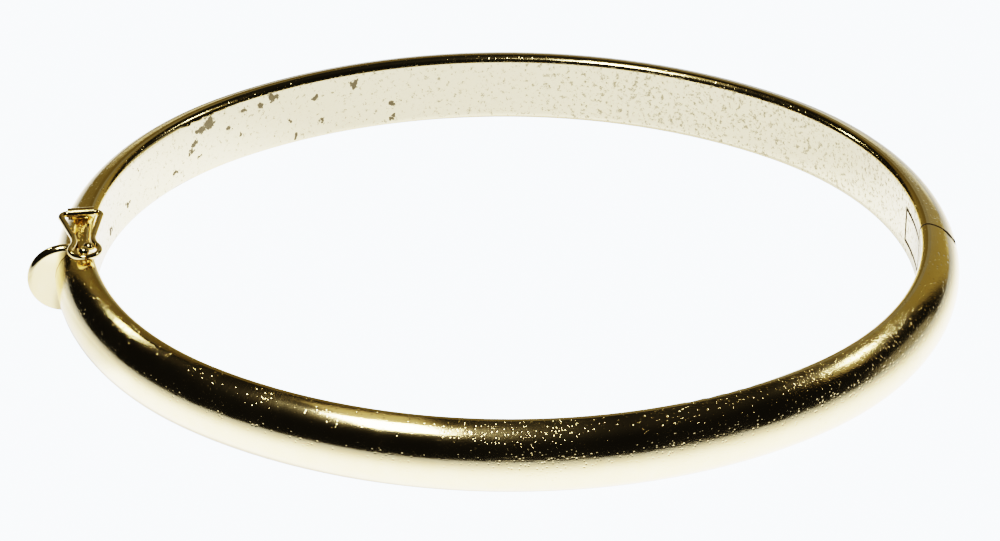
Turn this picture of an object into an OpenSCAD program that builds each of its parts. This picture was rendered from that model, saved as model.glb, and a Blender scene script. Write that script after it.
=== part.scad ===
// Hinged bangle: an oval, hollow, half-round band in two halves. They turn on a hidden hinge pin
// at one end and shut with a sprung snap at the other, with a figure-eight safety catch over it.
// Millimetres. The bangle lies on its side, so +Z is along the wearer's arm. +X is the hinge end,
// +Y the back half. The origin is the middle of the whole part, on the plane that it rests on.

/* [Wrist oval] */
// Inside length, hinge end to clasp end
wrist_l = 60; // [56:1:66]
// Inside width across the two halves
wrist_w = 52; // [50:1:54]
// Inside radius of the two tight ends of the oval
end_r = 24; // [22:0.5:24]

/* [Band] */
// Height of the band along the arm
band_h = 5.5; // [5.4:0.1:6]
// Thickness of the half-round band, inner wall to crown
band_t = 2.9; // [2.9:0.05:3.2]
// Radius of the band's rounded inner edges
edge_r = 0.6; // [0.5:0.05:0.65]
// Sheet thickness of the hollow band
wall = 0.4; // [0.35:0.05:0.45]
// Gap between the two halves at the hinge seam and the clasp seam
seam_gap = 0.06; // [0.04:0.01:0.1]

/* [Hinge] */
// How far the front half swings open, in degrees
hinge_open = 50; // [30:5:50]
// Radius of the hinge pin
pin_r = 0.3; // [0.25:0.05:0.3]
// Height of the middle knuckle and of the plate behind it
knuckle_h = 2.6; // [2.4:0.1:2.6]
// Length of the plate that lies in the back half's inner wall
plate_l = 4.8; // [3:0.1:6]

/* [Snap and thumb tab] */
// How far the clasp seam lies past the oval's tip, in degrees round the end arc
clasp_turn = 7.5; // [6:0.5:9]
// Radius of the round thumb tab
tab_r = 2.7; // [2.4:0.05:2.7]
// Thickness of the thumb tab
tab_t = 0.57; // [0.5:0.01:0.6]
// How far the tab turns in when it is pressed, in degrees
tab_press = 3; // [2:0.5:3]
// Length of the sprung tongue past the seam
tongue_l = 5.8; // [5:0.1:6]

/* [Safety catch] */
// Diameter of the catch wire
wire_d = 0.46; // [0.4:0.02:0.5]
// Length of the catch, axle to the middle of the front wire
catch_l = 6.45; // [6:0.05:6.6]
// Radius of the round front loop, to the middle of the wire
loop_r = 1.05; // [1:0.01:1.1]
// Half the width of the waist, to the middle of the wire
waist_half = 0.685; // [0.6:0.005:0.75]
// Radius of the ball heads that the loop snaps over
ball_r = 0.42; // [0.38:0.01:0.44]

/* [Hidden] */
$fn = 96;
EPS = 0.01;
GOLD = [0.83, 0.68, 0.30];
GOLD_PALE = [0.88, 0.76, 0.42];
STEEL = [0.72, 0.70, 0.62];

// The oval is four tangent arcs: two tight ends and two long sides
end_x = wrist_l / 2 - end_r;
side_r = (pow(end_x, 2) + pow(wrist_w / 2, 2) - pow(end_r, 2)) / (wrist_w - 2 * end_r);
side_y = side_r - wrist_w / 2;
join = atan2(side_y, end_x);
mid_z = band_h / 2;
seam_half = seam_gap / 2 / end_r * 180 / PI;

// The crown is one arc, tangent to the two rounded inner edges. Both edges are worn flat where the
// bangle rests, by so little that the flat is about 0.2 wide
worn = 0.01;
edge_up = band_h / 2 + worn - edge_r;
crown_r = (pow(band_t - edge_r, 2) + pow(edge_up, 2) - pow(edge_r, 2)) / 2 / (band_t - 2 * edge_r);
crown_in = band_t - crown_r;

// Each arc is its centre and inside radius, then the two rays that bound it, each from the centre
// of one end of the oval. Neighbours share a ray, so that they meet face to face
HINGE_END = [end_x, 0];
CLASP_END = [-end_x, 0];
BACK_ARCS = [
    [HINGE_END, end_r, HINGE_END, seam_half, HINGE_END, join],
    [[0, -side_y], side_r, HINGE_END, join, CLASP_END, 180 - join],
    [CLASP_END, end_r, CLASP_END, 180 - join, CLASP_END, 180 + clasp_turn - seam_half]];
FRONT_ARCS = [
    [CLASP_END, end_r, CLASP_END, 180 + clasp_turn + seam_half, CLASP_END, 180 + join],
    [[0, side_y], side_r, CLASP_END, 180 + join, HINGE_END, -join],
    [HINGE_END, end_r, HINGE_END, -join, HINGE_END, -seam_half]];

// Solid metal at the ends of the halves, as lengths along the band
hinge_plug = 2.3;
clasp_plug = 2.6;
mouth_plate = 0.5;

// Hinge, measured outward from the inner wall. A knuckle's round part is as big as the band is
// deep behind the pin, so that the ends can roll past each other
pin_in = 1.75;
pin_l = 3.5;
pin_gap = 0.02;
run_gap = 0.03;
knuckle_inset = 0.03;
knuckle_gap = 0.05;
roll_gap = (band_t - pin_in) * (1 / cos(hinge_open / 2) - 1) + 0.02;
ear_top = sqrt(pow(crown_r - knuckle_inset, 2) - pow(pin_in - crown_in + 0.05, 2));
ear_room = sqrt(pow(crown_r + roll_gap, 2) - pow(pin_in - crown_in + 0.05, 2));
web_in = 0.25;
web_half = 1;
plate_t = 0.45;

// Snap, measured outward from the inner wall at the clasp seam
leaf_half = 1.1;
leaf_t = 0.22;
fixed_leaf_in = 0.65;
fixed_leaf_t = 0.25;
fold_in = 1.1;
fold_r = 0.25;
tab_in = 2.2;
tab_cut_in = 1.6;
tab_y = -0.05;
leaf_top_in = 1.95;
slot_in = 1.1;
slot_l = tab_t - tab_y + 0.14;
mouth_in = 0.42;
mouth_out = 2.22;
mouth_half = 1.2;

// Safety catch, seen from above in the clasp's own directions
catch_in = 0.7;
loop_y = 1.2;
waist_y = -0.3;
axle_y = loop_y + loop_r - catch_l;
axle_half = 1;
elbow_r = 0.43;
slit = 0.1;
barrel_r = 0.43;
barrel_l = 1.9;
barrel_foot = [1.1, 0.5, 0.6];
catch_z = band_h + 0.33;
ball_z = catch_z + 0.05;
post_r = 0.2;
BALLS = [[0.08, 0.36], [-0.28, -0.26]];
waist_r = (pow(waist_half, 2) + pow(loop_y - waist_y, 2) - pow(loop_r, 2)) / 2 / (loop_r - waist_half);
waist_c = [waist_half + waist_r, waist_y];
elbow_c = [axle_half, axle_y + elbow_r];
loop_turn = atan2(waist_y - loop_y, waist_c.x);
leg_turn = atan2(waist_c.y - elbow_c.y, waist_c.x - elbow_c.x)
    - acos((waist_r + elbow_r) / norm(waist_c - elbow_c));

// The origin goes to the middle of the whole part, thumb tab included
tab_far = end_x + (end_r + tab_in + tab_r) * cos(clasp_turn) + (tab_t - tab_y) * sin(clasp_turn);
centre_x = (tab_far - wrist_l / 2 - band_t) / 2;

module centred() translate([centre_x, 0, 0]) children();
module at_hinge() translate([end_x + end_r, 0, mid_z]) children();
module at_clasp() {
    translate([-end_x, 0, 0]) rotate([0, 0, 180 + clasp_turn]) translate([end_r, 0, 0]) children();
}

function far(c, turn) = c + 2 * side_r * [cos(turn), sin(turn)];

module sweep_along(arcs) {
    for (a = arcs) intersection() {
        translate(a[0]) rotate_extrude() translate([a[1], 0]) children();
        translate([0, 0, -1]) linear_extrude(height = band_h + 2)
            polygon(concat([a[2], far(a[2], a[3]), far(a[4], a[5])], a[2] == a[4] ? [] : [a[4]]));
    }
}

module band_profile() {
    intersection() {
        translate([crown_in, mid_z]) circle(r = crown_r);
        union() {
            for (s = [-1, 1]) translate([edge_r, mid_z + s * edge_up]) circle(r = edge_r);
            translate([0, mid_z - edge_up]) square([band_h, 2 * edge_up]);
            translate([edge_r, 0]) square([band_h, band_h]);
        }
        translate([-1, 0]) square([band_h + 1, band_h]);
    }
}

module hollow_profile() {
    intersection() {
        translate([crown_in, mid_z]) circle(r = crown_r - wall);
        translate([wall, wall]) square([band_h, band_h - 2 * wall]);
    }
}

// The arcs of a half with its two ends cut shorter, which leaves the solid plugs
function shorter(a, from_l, to_l) =
    [a[0], a[1], a[2], a[3] + from_l / end_r * 180 / PI, a[4], a[5] - to_l / end_r * 180 / PI];
function inside_arcs(arcs, first_l, last_l) =
    [shorter(arcs[0], first_l, 0), arcs[1], shorter(arcs[2], 0, last_l)];

module hollow_band(arcs, first_l, last_l) {
    difference() {
        sweep_along(arcs) band_profile();
        sweep_along(inside_arcs(arcs, first_l, last_l)) hollow_profile();
    }
}

// A round about the pin that follows the band's crown, between two heights. The knuckles are a
// little smaller than the crown, and the rooms that they roll in a little bigger
module knuckle(z_low, z_high, grow) {
    rotate_extrude() intersection() {
        translate([crown_in - pin_in, 0]) circle(r = crown_r + grow);
        translate([0, z_low]) square([band_t, z_high - z_low]);
    }
}

module hinge_plate(grow) {
    translate([-end_r, 0, 0]) rotate([0, 0, -1])
        rotate_extrude(angle = 1 + (plate_l + grow) / end_r * 180 / PI)
            translate([end_r - (grow > 0 ? 1 : 0), -knuckle_h / 2 - grow])
                square([plate_t + grow + (grow > 0 ? 1 : 0), knuckle_h + 2 * grow]);
}

module hinge_web(grow) {
    translate([web_in - (grow > 0 ? 1 : 0), -web_half, -knuckle_h / 2 - grow])
        cube([pin_in - web_in + (grow > 0 ? 1 : 0), 2 * web_half + grow, knuckle_h + 2 * grow]);
}

module pin_bore(r, l) translate([pin_in, 0, -l / 2]) cylinder(r = r, h = l);

module barrel() {
    translate([catch_in, axle_y, catch_z]) rotate([0, 90, 0])
        cylinder(r = barrel_r, h = barrel_l, center = true);
    translate([catch_in, axle_y, catch_z - barrel_foot.z / 2 - barrel_r / 2])
        cube(barrel_foot, center = true);
}

module barrel_bore() {
    translate([catch_in, axle_y, catch_z]) rotate([0, 90, 0])
        cylinder(r = wire_d / 2 + run_gap, h = barrel_l + 1, center = true);
}

module fixed_leaf() {
    translate([fixed_leaf_in, -clasp_plug / 2, mid_z - leaf_half])
        cube([fixed_leaf_t, clasp_plug / 2 + tongue_l - 0.3, 2 * leaf_half]);
}

module back_half() {
    color(GOLD) centred() difference() {
        union() {
            hollow_band(BACK_ARCS, hinge_plug, clasp_plug);
            at_hinge() translate([pin_in, 0, 0]) {
                knuckle(knuckle_h / 2 + knuckle_gap, ear_top, -knuckle_inset);
                knuckle(-ear_top, -knuckle_h / 2 - knuckle_gap, -knuckle_inset);
            }
            at_clasp() {
                barrel();
                fixed_leaf();
            }
        }
        at_hinge() {
            translate([pin_in, 0, 0])
                knuckle(-knuckle_h / 2 - knuckle_gap, knuckle_h / 2 + knuckle_gap, roll_gap);
            pin_bore(pin_r + pin_gap, pin_l + 2 * pin_gap);
            hinge_plate(knuckle_gap);
            hinge_web(knuckle_gap);
        }
        at_clasp() {
            barrel_bore();
            translate([slot_in, -slot_l, -EPS]) cube([band_t, slot_l + 1, band_h + 2 * EPS]);
        }
    }
}

module front_half() {
    color(GOLD) centred() difference() {
        union() {
            difference() {
                hollow_band(FRONT_ARCS, mouth_plate, hinge_plug);
                at_hinge() translate([pin_in, 0, 0]) {
                    knuckle(knuckle_h / 2, ear_room, roll_gap);
                    knuckle(-ear_room, -knuckle_h / 2, roll_gap);
                }
            }
            at_hinge() {
                translate([pin_in, 0, 0]) knuckle(-knuckle_h / 2, knuckle_h / 2, -knuckle_inset);
                hinge_web(0);
                hinge_plate(0);
            }
            at_clasp() for (b = BALLS) translate([catch_in + b.x, loop_y + b.y, 0]) {
                translate([0, 0, ball_z]) sphere(r = ball_r);
                translate([0, 0, band_h - wall / 2]) cylinder(r = post_r, h = ball_z - band_h + wall / 2);
            }
        }
        at_hinge() pin_bore(pin_r + run_gap, knuckle_h + 0.2);
        at_clasp() translate([mouth_in, -1, mid_z - mouth_half])
            cube([mouth_out - mouth_in, 1.2 + mouth_plate, 2 * mouth_half]);
    }
}

module hinge_pin() {
    color(STEEL) centred() at_hinge() pin_bore(pin_r, pin_l);
}

module thumb_tab() {
    color(GOLD_PALE) centred() at_clasp() {
        intersection() {
            translate([tab_in, tab_y, mid_z]) rotate([90, 0, 0]) cylinder(r = tab_r, h = tab_t);
            translate([tab_cut_in, tab_y - tab_t - 1, -1]) cube([3 * tab_r, tab_t + 2, band_h + 2]);
        }
        translate([fold_in, tongue_l, mid_z - leaf_half]) cylinder(r = fold_r, h = 2 * leaf_half);
        translate([0, 0, mid_z - leaf_half]) linear_extrude(height = 2 * leaf_half) polygon([
            [fold_in, tongue_l],
            [fold_in + leaf_t, tongue_l],
            [leaf_top_in + leaf_t / 2, tab_y - tab_t / 2],
            [leaf_top_in - leaf_t / 2, tab_y - tab_t / 2]]);
    }
}

module wire_arc(centre, r, from, to) {
    translate(centre) rotate([0, 0, from])
        rotate_extrude(angle = to - from) translate([r, 0]) circle(d = wire_d);
}

module wire_line(p, q) {
    way = q - p;
    translate(p) rotate([0, 0, atan2(way.y, way.x)]) rotate([0, 90, 0])
        cylinder(d = wire_d, h = norm(way));
}

// One side of the catch: elbow, straight leg, waist and half of the front loop, with a thin ring
// of solder at each join
module catch_side() {
    aim = [cos(leg_turn), sin(leg_turn)];
    leg = [elbow_c + elbow_r * aim, waist_c - waist_r * aim];
    wire_arc(elbow_c, elbow_r, -90, leg_turn);
    wire_line(leg[0], leg[1]);
    wire_arc(waist_c, waist_r, 180 + loop_turn, 180 + leg_turn);
    wire_arc([0, loop_y], loop_r, loop_turn, 90 - asin(slit / 2 / loop_r));
    for (j = [[[axle_half, axle_y], 0], [leg[0], leg_turn + 90], [leg[1], leg_turn + 90],
            [[0, loop_y] + loop_r * [cos(loop_turn), sin(loop_turn)], loop_turn + 90]])
        translate(j[0]) rotate([0, 0, j[1]]) rotate([0, 90, 0])
            cylinder(d = wire_d + 0.03, h = 0.1, center = true);
}

module safety_catch() {
    color(GOLD) centred() at_clasp() translate([catch_in, 0, catch_z]) {
        wire_line([-axle_half, axle_y], [axle_half, axle_y]);
        catch_side();
        mirror([1, 0, 0]) catch_side();
    }
}

back_half();
front_half();
hinge_pin();
thumb_tab();
safety_catch();
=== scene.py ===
"""Polished hinged bangle lying on its side on a white sweep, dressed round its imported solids."""
import math

import bpy
from mathutils import Matrix, Vector


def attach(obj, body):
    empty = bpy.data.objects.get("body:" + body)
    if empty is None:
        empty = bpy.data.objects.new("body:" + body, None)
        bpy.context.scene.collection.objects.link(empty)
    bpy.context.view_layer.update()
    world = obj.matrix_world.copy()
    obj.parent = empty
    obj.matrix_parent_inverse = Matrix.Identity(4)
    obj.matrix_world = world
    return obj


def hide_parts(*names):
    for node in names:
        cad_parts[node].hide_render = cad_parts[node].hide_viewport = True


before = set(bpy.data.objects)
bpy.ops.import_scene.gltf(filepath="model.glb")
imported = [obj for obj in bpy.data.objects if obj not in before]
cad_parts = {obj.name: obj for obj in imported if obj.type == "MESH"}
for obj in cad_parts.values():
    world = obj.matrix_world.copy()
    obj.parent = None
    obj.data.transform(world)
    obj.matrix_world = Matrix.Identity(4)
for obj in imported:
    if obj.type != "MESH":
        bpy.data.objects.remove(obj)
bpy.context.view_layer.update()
MM = 0.001


# Band: a thin hollow shell of yellow metal, rolled half-round, soldered shut and polished. Years of
# wear have left hair-fine scratches and pinhead pits on the outside, where the shine breaks into
# glints, and a pale satin wall inside with brown specks of tarnish.
class Socket:
    """A shader socket whose arithmetic adds Math nodes."""

    def __init__(self, tree, out):
        self.tree, self.out = tree, out

    def math(self, operation, *others):
        node = self.tree.nodes.new("ShaderNodeMath")
        node.operation = operation
        for i, v in enumerate((self, *others)):
            if isinstance(v, Socket):
                self.tree.links.new(v.out, node.inputs[i])
            else:
                node.inputs[i].default_value = v
        return Socket(self.tree, node.outputs[0])

    def __add__(self, o): return self.math("ADD", o)
    def __mul__(self, o): return self.math("MULTIPLY", o)
    def __sub__(self, o): return self.math("SUBTRACT", o)
    def __rsub__(self, o): return (self * -1.0) + o
    def __truediv__(self, o): return self.math("DIVIDE", o)
    def __rtruediv__(self, o): return self.math("POWER", -1.0) * o
    def __neg__(self): return self * -1.0
    __radd__ = __add__
    __rmul__ = __mul__


class Finish:
    """One node tree, with the one method that makes every node that isn't arithmetic."""

    def __init__(self, owner):
        self.owner, owner.use_nodes = owner, True
        self.tree = owner.node_tree
        self.skin = self.tree.nodes.get("Principled BSDF")

    def node(self, kind, output=0, settings=None, **inputs):
        """A new node's output; a socket goes by its name, or by its number as at0, at1 and so on."""
        n = self.tree.nodes.new(kind)
        for k, v in (settings or {}).items():
            setattr(n, k, v)
        for k, v in inputs.items():
            self.put(n, k.replace("_", " "), v)
        return Socket(self.tree, n.outputs[output])

    def put(self, n, name, v):
        numbered = name.startswith("at") and name[2:].isdigit()
        s = n.inputs[int(name[2:])] if numbered else n.inputs[name]
        if isinstance(v, Socket):
            self.tree.links.new(v.out, s)
        else:
            s.default_value = v

    def set(self, **inputs):
        for k, v in inputs.items():
            self.put(self.skin, k.replace("_", " "), v)

    def step(self, v, low, high):
        """0 below low, 1 above high and smooth between; low may lie above high."""
        return self.node("ShaderNodeMapRange", 0, {"interpolation_type": "SMOOTHSTEP"},
                         Value=v, From_Min=low, From_Max=high)

    def mix(self, amount, a, b):
        return self.node("ShaderNodeMix", 2, {"data_type": "RGBA"}, Factor=amount, at6=a, at7=b)

    def vector(self, operation, a, b=(0, 0, 0), output=0, **more):
        return self.node("ShaderNodeVectorMath", output, {"operation": operation}, at0=a, at1=b, **more)

    def noise(self, at, scale, detail=2.0, rough=0.5, swirl=0.0):
        return self.node("ShaderNodeTexNoise", 0, Vector=at, Scale=scale, Detail=detail, Roughness=rough,
                         Distortion=swirl)


def millimetres(f):
    """Where a point is, in millimetres."""
    place = f.node("ShaderNodeTexCoord", "Object")
    return f.node("ShaderNodeMapping", Vector=place, Scale=(1 / MM, 1 / MM, 1 / MM))


def hairlines(f, at, turn, fine, thin):
    """Scratches in one direction: noise drawn out long, of which only the thin ridges count."""
    along = f.node("ShaderNodeMapping", Vector=at, Rotation=turn, Scale=(0.35, fine, fine))
    n = f.noise(along, 1.0, 1.0, 0.5, 0.15)
    return 1 - f.step((n - 0.5).math("ABSOLUTE"), 0.0, thin)


def pits(f, at, scale, share, size):
    """Round dents in some of the cells of a Voronoi pattern."""
    cell = f.node("ShaderNodeTexVoronoi", "Distance", Vector=at, Scale=scale)
    seed = f.node("ShaderNodeSeparateColor", 0,
                  Color=f.node("ShaderNodeTexVoronoi", "Color", Vector=at, Scale=scale))
    return f.step(cell, size, size * 0.3) * f.step(seed, 1 - share, 1 - share * 0.6)


GOLD = (0.93, 0.79, 0.46, 1)
GOLD_DEEP = (0.90, 0.70, 0.34, 1)
GOLD_INSIDE = (0.93, 0.80, 0.50, 1)
TARNISH = (0.16, 0.125, 0.07, 1)
# Dark colour for grime and painted shade in the hinge seam and round the plate
GRIME_AND_SHADE = (0.06, 0.045, 0.03, 1)
# Heights and depths of the surface, in mm; the second of a pair is added where the metal is worn
RIPPLE, BUFFING, PRICK, SOIL = 0.0012, 0.006, 0.010, 0.004
GRAIN, DENT, SCRATCH = (0.0003, 0.0013), (0.00696, 0.00984), (0.00024, 0.0006)
GIRTH_RADIUS = 29  # from the middle of the bangle to the band, in mm
# Where the outside is rubbed most, and so glints most: place in mm and reach
RUBBED = [((24, -19, 4.5), 9.0), ((3, -28, 5), 6.0), ((27, -14, 3), 6.0), ((14, -26, 5.5), 6.5)]
# Tarnish on the inner wall, where the photograph shows it: place in mm and reach
STAINS = [
    ((-21.7, 17.3, 4.45), 0.75), ((-22.3, 16.7, 4.1), 0.55), ((-22.7, 16.3, 3.2), 0.55),
    ((-23.0, 15.9, 2.7), 0.45), ((-22.4, 16.6, 2.0), 0.28), ((-24.1, 14.6, 1.6), 0.32),
    ((-23.6, 15.2, 2.1), 0.22), ((-19.1, 19.5, 4.3), 0.42), ((-20.1, 18.7, 3.3), 0.30),
    ((-19.4, 19.2, 2.4), 0.26), ((-17.9, 20.3, 4.2), 0.36), ((-17.0, 20.9, 4.7), 0.60),
    ((-13.8, 22.6, 3.7), 0.36), ((-10.8, 23.9, 4.3), 0.50), ((-7.75, 24.9, 2.1), 0.42),
    ((-7.7, 24.9, 0.8), 0.34), ((-13.3, 22.9, 1.6), 0.30), ((-15.7, 21.6, 2.3), 0.34),
    ((-15.2, 21.9, 0.7), 0.36), ((-26.7, 10.4, 4.1), 0.22), ((-27.3, 9.0, 2.1), 0.34),
    ((-28.4, 5.5, 1.6), 0.45)]
# Hinge plate let into the inner wall: its middle and half its size along and across the band, in mm
PLATE_Y, PLATE_Z, PLATE_HALF_Y, PLATE_HALF_Z = 2.38, 2.75, 2.39, 1.32


def gold_of(name, wall=False, wear=1.0):
    """Polished gold; wall adds the rubbed places, the satin inner wall and the grime and painted shade at the
    hinge.
    """
    f = Finish(bpy.data.materials.new(name))
    mm = millimetres(f)
    x, y, z = (f.node("ShaderNodeSeparateXYZ", c, Vector=mm) for c in "XYZ")

    worn = f.step(f.noise(mm, 0.35, 3.0, 0.6), 0.40, 0.62) * 0.75
    if wall:
        for at, reach in RUBBED:
            rubbed = f.step(f.vector("DISTANCE", mm, at, output="Value"), reach, reach * 0.4)
            worn = worn.math("MAXIMUM", rubbed * 1.5)
    lines = (hairlines(f, mm, (0.2, 0.1, 0.35), 4.0, 0.04) + hairlines(f, mm, (0.5, -0.3, -0.6), 3.5, 0.04)
             + hairlines(f, mm, (-0.4, 0.6, 1.2), 4.5, 0.03))
    dents = pits(f, mm, 2.9, 0.85, 0.26)
    pricks = pits(f, mm, 3.7, 0.95, 0.31) * worn
    round_it = f.node("ShaderNodeCombineXYZ", X=y.math("ARCTAN2", x) * GIRTH_RADIUS, Y=z * 0.15)
    buffed = f.noise(round_it, 3.0, 2.0, 0.6) * f.step(f.noise(mm, 0.25, 1.0), 0.42, 0.60)
    relief = (f.noise(mm, 1.1, 1.0, 0.5) * RIPPLE + f.noise(mm, 6.0, 1.0, 0.5) * (GRAIN[0] + worn * GRAIN[1])
              + buffed * BUFFING - dents * (DENT[0] + worn * DENT[1]) - pricks * PRICK
              - lines * (SCRATCH[0] + worn * SCRATCH[1]))
    tint = f.mix(f.noise(mm, 0.9, 3.0, 0.6), GOLD, GOLD_DEEP)
    rough, metal = 0.12 + worn * 0.03, 1.0

    if wall:
        # The wall inside: where the surface faces the middle of the bangle
        facing = f.node("ShaderNodeTexCoord", "Normal")
        outward = f.vector("NORMALIZE", f.vector("MULTIPLY", mm, (1, 1, 0)))
        inner = f.step(-f.vector("DOT_PRODUCT", facing, outward, output="Value"), 0.86, 0.96)
        # Its tarnish: ragged stains, freckles that thicken towards the hinge, and dots
        drift = f.node("ShaderNodeTexNoise", "Color", Vector=mm, Scale=1.6, Detail=3.0)
        astray = f.vector("ADD", mm, f.vector("SCALE", f.vector("SUBTRACT", drift, (0.5, 0.5, 0.5)), Scale=1.3))
        marks = None
        for at, reach in STAINS:
            near = f.step(f.vector("DISTANCE", astray, at, output="Value"), reach * 1.25, reach * 0.3)
            marks = near if marks is None else marks.math("MAXIMUM", near)
        stain = f.step(marks * 0.7 + f.noise(mm, 5.5, 3.0, 0.7) * 1.3, 1.0, 1.12)
        freckles = f.step(f.noise(mm, 3.0, 4.0, 0.75) + f.step(x, -12, 18) * 0.05, 0.56, 0.68)
        dots = pits(f, mm, 1.9, 0.30, 0.15)
        soil = (stain + freckles * 0.7 + dots * 0.7).math("MINIMUM", 1.0) * inner
        satin = f.mix(f.noise(mm, 0.6, 2.0, 0.5), GOLD_INSIDE, GOLD)
        tint = f.mix(soil * 0.92, f.mix(inner, tint, satin), TARNISH)
        rough = rough * (1 - inner) + inner * (0.16 + soil * 0.3)
        relief = relief * (1 - inner * 0.7) - soil * SOIL
        # Grime and painted shade: a dark line painted in the hinge seam and round the plate beside it, for dirt
        # and for the shade in the gaps
        border = ((y - PLATE_Y).math("ABSOLUTE") - PLATE_HALF_Y).math(
            "MAXIMUM", (z - PLATE_Z).math("ABSOLUTE") - PLATE_HALF_Z)
        round_plate = f.step(border.math("ABSOLUTE"), 0.20, 0.09) * inner
        seam = f.step(y.math("ABSOLUTE"), 0.15, 0.07)
        grime_and_shade = round_plate.math("MAXIMUM", seam) * f.step(x, 24, 26)
        tint = f.mix(grime_and_shade, tint, GRIME_AND_SHADE)
        rough = rough + grime_and_shade * 0.7
        metal = 1 - (grime_and_shade + soil * 0.9).math("MINIMUM", 1.0)

    f.set(Base_Color=tint, Metallic=metal, Roughness=rough, Specular_IOR_Level=0.0,
          Normal=f.node("ShaderNodeBump", Height=relief * wear, Strength=1.0, Distance=MM))
    return f.owner


def dress(node, material):
    """Give a CAD node its material."""
    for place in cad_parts[node].material_slots:
        place.material = material


band_gold = gold_of("band_gold", wall=True)
dress("back_half", band_gold)
dress("front_half", band_gold)

# Hinge pin: a length of drawn steel wire, pressed through the knuckles and filed flush, of which
# only the ends can be glimpsed in the joint.
steel = Finish(bpy.data.materials.new("drawn_steel"))
drawn = steel.node("ShaderNodeMapping", Vector=millimetres(steel), Scale=(24, 24, 0.6))
streaks = steel.noise(drawn, 1.0, 2.0, 0.6)
steel.set(Base_Color=steel.mix(streaks, (0.42, 0.40, 0.36, 1), (0.62, 0.60, 0.55, 1)), Metallic=1.0,
          Roughness=0.22 + streaks * 0.15,
          Normal=steel.node("ShaderNodeBump", Height=streaks * 0.004, Strength=1.0, Distance=MM))
dress("hinge_pin", steel.owner)

# Thumb tab: a round of thick sheet with a filed rim, cut straight where it meets the band and soldered
# to the sprung upper leaf of the snap, which folds over at its far end. Its face is a plain mirror.
# It is made in mm at the clasp end of a plain arc, where y runs along the band and z is up.
MID_Z = 2.75
TAB_R, TAB_THICK, TAB_X, TAB_Y, TAB_CUT = 2.7, 0.57, 2.2, -0.335, 1.6
FRONT_ROUND, BACK_ROUND = 0.40, 0.12
LEAF, LEAF_X, LEAF_Y, LEAF_SLANT = (0.22, 6.135, 2.2), 1.21, 2.7325, 0.74
FOLD_R, FOLD_X, FOLD_Y = 0.25, 1.1, 5.8
END_R, END_X, CLASP_TURN = 24, -6 + 0.916845, 187.5  # the arc's radius, middle and bearing

bpy.ops.object.select_all(action="DESELECT")
bpy.ops.mesh.primitive_cylinder_add(vertices=128, radius=TAB_R, depth=TAB_THICK,
                                    location=(TAB_X, TAB_Y, MID_Z), rotation=(math.pi / 2, 0, 0))
tab = bpy.context.object
tab.name = "thumb_tab_dressed"
bpy.ops.object.transform_apply(location=True, rotation=True, scale=True)
bpy.ops.object.mode_set(mode="EDIT")
bpy.ops.mesh.select_all(action="SELECT")
bpy.ops.mesh.bisect(plane_co=(TAB_CUT, 0, 0), plane_no=(1, 0, 0), clear_inner=True, use_fill=True)
bpy.ops.mesh.select_mode(type="EDGE")


def round_off(chosen, by, segments):
    """Bevel the tab's edges that are chosen by where their two ends are."""
    bpy.ops.mesh.select_all(action="DESELECT")
    bpy.ops.object.mode_set(mode="OBJECT")
    for edge in tab.data.edges:
        edge.select = chosen([tab.data.vertices[i].co for i in edge.vertices])
    bpy.ops.object.mode_set(mode="EDIT")
    bpy.ops.mesh.bevel(offset=by, segments=segments, affect="EDGES", clamp_overlap=True)


front_y, back_y = TAB_Y + TAB_THICK / 2 - 0.01, TAB_Y - TAB_THICK / 2 + 0.01
round_off(lambda ends: min(e.y for e in ends) > front_y and max(e.x for e in ends) > TAB_CUT + 0.01,
          FRONT_ROUND, 9)
round_off(lambda ends: max(e.y for e in ends) < back_y, BACK_ROUND, 4)
bpy.ops.object.mode_set(mode="OBJECT")

bpy.ops.object.select_all(action="DESELECT")
bpy.ops.mesh.primitive_cube_add(size=1, location=(LEAF_X, LEAF_Y, MID_Z), scale=LEAF)
leaf = bpy.context.object
bpy.ops.object.transform_apply(location=True, rotation=True, scale=True)
for corner in leaf.data.vertices:
    corner.select = corner.co.y < 0
bpy.ops.object.mode_set(mode="EDIT")
bpy.ops.transform.translate(value=(LEAF_SLANT, 0, 0))
bpy.ops.object.mode_set(mode="OBJECT")
bpy.ops.object.select_all(action="DESELECT")
bpy.ops.mesh.primitive_cylinder_add(vertices=48, radius=FOLD_R, depth=LEAF[2], location=(FOLD_X, FOLD_Y, MID_Z))
fold = bpy.context.object

bpy.ops.object.select_all(action="DESELECT")
for piece in (fold, leaf, tab):
    piece.select_set(True)
bpy.context.view_layer.objects.active = tab
bpy.ops.object.join()
tab.matrix_world = (Matrix.Diagonal((MM, MM, MM, 1)) @ Matrix.Translation((END_X, 0, 0))
                    @ Matrix.Rotation(math.radians(CLASP_TURN), 4, "Z") @ Matrix.Translation((END_R, 0, 0)))
bpy.ops.object.transform_apply(location=True, rotation=True, scale=True)
bpy.ops.object.shade_smooth_by_angle(angle=math.radians(35))
tab.data.materials.append(gold_of("tab_gold", wear=0.25))
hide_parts("thumb_tab")
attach(tab, "tab")

# Safety catch: one hard-drawn wire bent into a figure of eight, with its axle in the barrel, closed
# by a hairline slit in front and burnished smooth by fingers.
dress("safety_catch", gold_of("wire_gold", wear=0.4))

# Floor: the white sweep that the bangle lies on, glowing until it reads as plain white. The glow that
# the metal mirrors is painted light and shade: a painted pool of light along the foot of the band and
# towards both ends inside it, painted shadow under the band and beside the tab, and painted golden
# light from the band, dimmed, in one patch behind.
SWEEP_GLOW = 5.5
OVAL_X, OVAL_Y = 33.8, 28.9  # outside of the bangle from its middle, in mm
COOL_WHITE = (0.70, 0.84, 1, 1)

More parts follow.
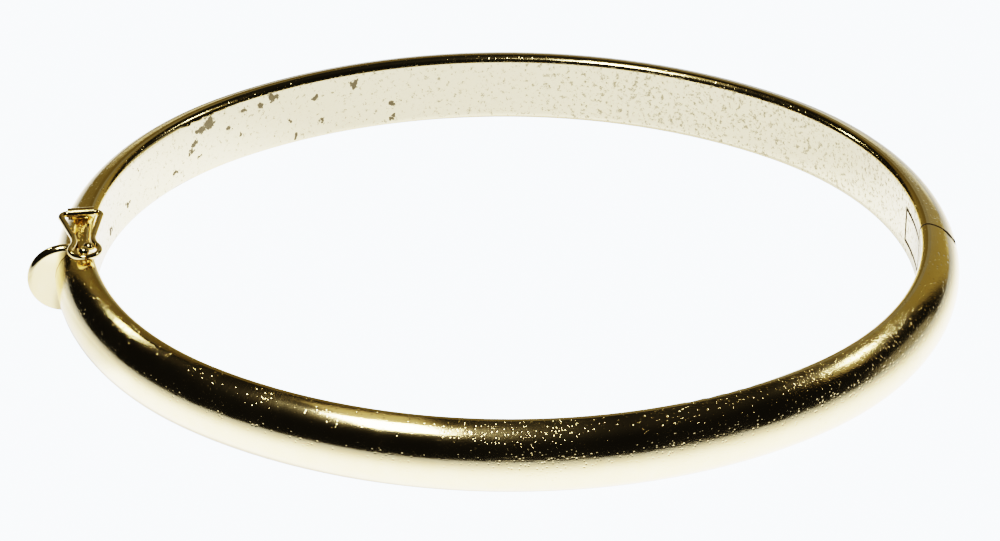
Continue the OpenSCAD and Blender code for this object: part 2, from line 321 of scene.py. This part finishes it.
bpy.ops.object.select_all(action="DESELECT")
bpy.ops.mesh.primitive_plane_add(size=6, location=(0, 0, 0))
sweep = bpy.context.object
sweep.name = "white_sweep"
white = Finish(bpy.data.materials.new("white_sweep"))
floor_mm = millimetres(white)
across, deep = (white.node("ShaderNodeSeparateXYZ", c, Vector=floor_mm) for c in "XY")
oval = white.vector("LENGTH", white.vector("MULTIPLY", floor_mm, (1 / OVAL_X, 1 / OVAL_Y, 0)), output=1)
outside = (oval - 1) * 30  # about how far outside the band, in mm
bearing = across.math("ARCTAN2", deep) * (180 / math.pi)

# Painted light: the mirrored glow is brightest along the outer foot of the band
painted_foot_light = 0.6 + 3.1 / (1 + (outside / 5.5) * (outside / 5.5))
# Painted light: the mirrored glow is brighter towards the left and right ends inside the bangle
painted_inside_light = 1.5 + white.step(across, -10, -24) * 1.3 + white.step(across, 20, 29) * 1.3
painted_light_pool = painted_inside_light + white.step(oval, 0.85, 0.95) * (painted_foot_light - painted_inside_light)
# Painted golden light bounced from the band, with painted shade, on a patch of floor behind it
painted_gold_bounce = white.step((bearing + 27).math("ABSOLUTE"), 10, 7) * white.step(outside, 8, 25)
# Painted shadow of the thumb tab on the floor beside it
painted_tab_shadow = white.step(white.vector("DISTANCE", floor_mm, (-34, -6, 0), output=1), 10, 6)
# Painted shadow on the floor under the band, which darkens the lowest strip of the band's reflection
painted_band_shadow = white.step(outside, -1.1, -1.7) * white.step(outside, -3.2, -2.8)
painted_light_pool = painted_light_pool * (1 - painted_gold_bounce * 0.75) * (1 - painted_tab_shadow * 0.45) * (1 - painted_band_shadow * 0.55)
far = white.step(outside, 6, 50) + white.step(oval, 1.0, 0.9) * 0.5
cast = white.mix(painted_gold_bounce, white.mix(far, (1, 0.985, 0.96, 1), (0.74, 0.82, 1, 1)), (1, 0.8, 0.33, 1))
mirrored = white.vector("SCALE", cast, Scale=painted_light_pool * (1 / SWEEP_GLOW))
seen = white.node("ShaderNodeLightPath", "Is Camera Ray")
white.set(Base_Color=(0.3, 0.3, 0.3, 1), Roughness=0.8, Specular_IOR_Level=0.0,
          Emission_Color=white.mix(seen, mirrored, COOL_WHITE), Emission_Strength=SWEEP_GLOW)
sweep.data.materials.append(white.owner)

# Surroundings: a dark room above the sweep, with a dim golden wall behind the bangle that gives the
# top of the band its olive gold, and the sweep's bright upturned edge low in front of that wall.
world = bpy.data.worlds.new("dark_room")
bpy.context.scene.world = world
room = Finish(world)
way = room.node("ShaderNodeTexCoord", "Generated")
way_x, way_y, way_z = (room.node("ShaderNodeSeparateXYZ", c, Vector=way) for c in "XYZ")
turn = way_x.math("ARCTAN2", way_y) * (180 / math.pi)  # degrees to the right of straight behind
rise = way_z.math("ARCSINE") * (180 / math.pi)  # degrees above the horizon


def hill(middle, half, top, soft):
    """1 under an arch that stands on the horizon, with a soft edge; all in degrees but the last."""
    aside = ((turn - middle) * (1 / half)).math("ABSOLUTE").math("POWER", 3.0)
    up = (rise * (1 / top)).math("MAXIMUM", 0.0).math("POWER", 3.0)
    return room.step(aside + up, 1 + soft, 1 - soft)


sides = room.step(turn.math("ABSOLUTE"), 18, 32)
right = room.step(turn, -2, 5)
wall_glow = (hill(3, 44, 58, 0.25) * (0.12 + sides * 0.02 + right * 0.08)
             * (0.75 + room.step(rise, 50, 5) * 0.45))
edge_glow = hill(33, 4, 5, 0.5) * 0.3 + hill(-10, 7, 7, 0.5) * 0.6 + hill(17, 8, 6, 0.4) * 0.6
card_glow = hill(74, 15, 15, 0.3) * 0.24
haze = 0.009 + room.step(rise, 45, 75) * 0.012
warm = (hill(3, 46, 60, 0.3) * (1 - right * (1 - sides) * 0.7) - edge_glow).math("MAXIMUM", 0.0)
back = room.tree.nodes["Background"]
room.put(back, "Strength", wall_glow + edge_glow + card_glow + haze)
room.put(back, "Color", room.mix(warm, (1.0, 0.97, 0.86, 1), (1.0, 0.80, 0.33, 1)))


# Lamps: a softbox overhead to the left and a small lamp on each side behind. The one overhead and the
# one on the right have a dim golden surround.
def softbox(name, at, wide, high, radiance, tint, aim=(0, 0, 0), roll=0.0):
    """A rectangular lamp: place, size and aim in mm, turned by roll about its own beam."""
    bpy.ops.object.light_add(type="AREA", location=Vector(at) * MM)
    lamp = bpy.context.object
    lamp.name = name
    lamp.data.shape = "RECTANGLE"
    lamp.data.size, lamp.data.size_y = wide * MM, high * MM
    lamp.data.energy = radiance * math.pi * wide * high * MM * MM
    lamp.data.color = tint
    lamp.visible_camera = False
    face = (Vector(aim) - Vector(at)).to_track_quat("-Z", "Y").to_matrix()
    lamp.rotation_euler = (face @ Matrix.Rotation(roll, 3, "Z")).to_euler()


softbox("overhead", (-42, -45, 140), 34, 52, 22, (1, 0.96, 0.82), aim=(-42, -45, 0))
softbox("overhead_end", (-34, 2, 136), 30, 52, 0.6, (1, 0.85, 0.5), aim=(-34, 2, 0))
softbox("left_lamp", (-90, 52, 86), 18, 6, 26, (1, 0.94, 0.68), roll=-0.7)
softbox("right_lamp", (97, 31, 99), 21, 10, 21, (1, 0.96, 0.8), roll=0.15)
softbox("right_lamp_rim", (100, 12, 88), 50, 26, 0.30, (1, 0.84, 0.45), roll=0.5)

# Camera: where the photograph was taken from, 30 degrees above the floor.
EYE = Vector((-2.012, -275.046, 163.457)) * MM
RIGHT, UP = Vector((0.99997, -0.00637, 0.00401)), Vector((-0.00022, 0.50727, 0.86179))
bpy.ops.object.camera_add(location=EYE)
camera = bpy.context.object
camera.name = "photo_camera"
camera.matrix_world = (Matrix.Translation(EYE)
                       @ Matrix((RIGHT, UP, RIGHT.cross(UP))).transposed().to_4x4())
camera.data.lens, camera.data.sensor_width = 157.18, 36
camera.data.clip_start, camera.data.clip_end = 0.01, 20
bpy.context.scene.camera = camera
bpy.context.scene.view_settings.view_transform = "Filmic"
bpy.context.scene.view_settings.look = "High Contrast"
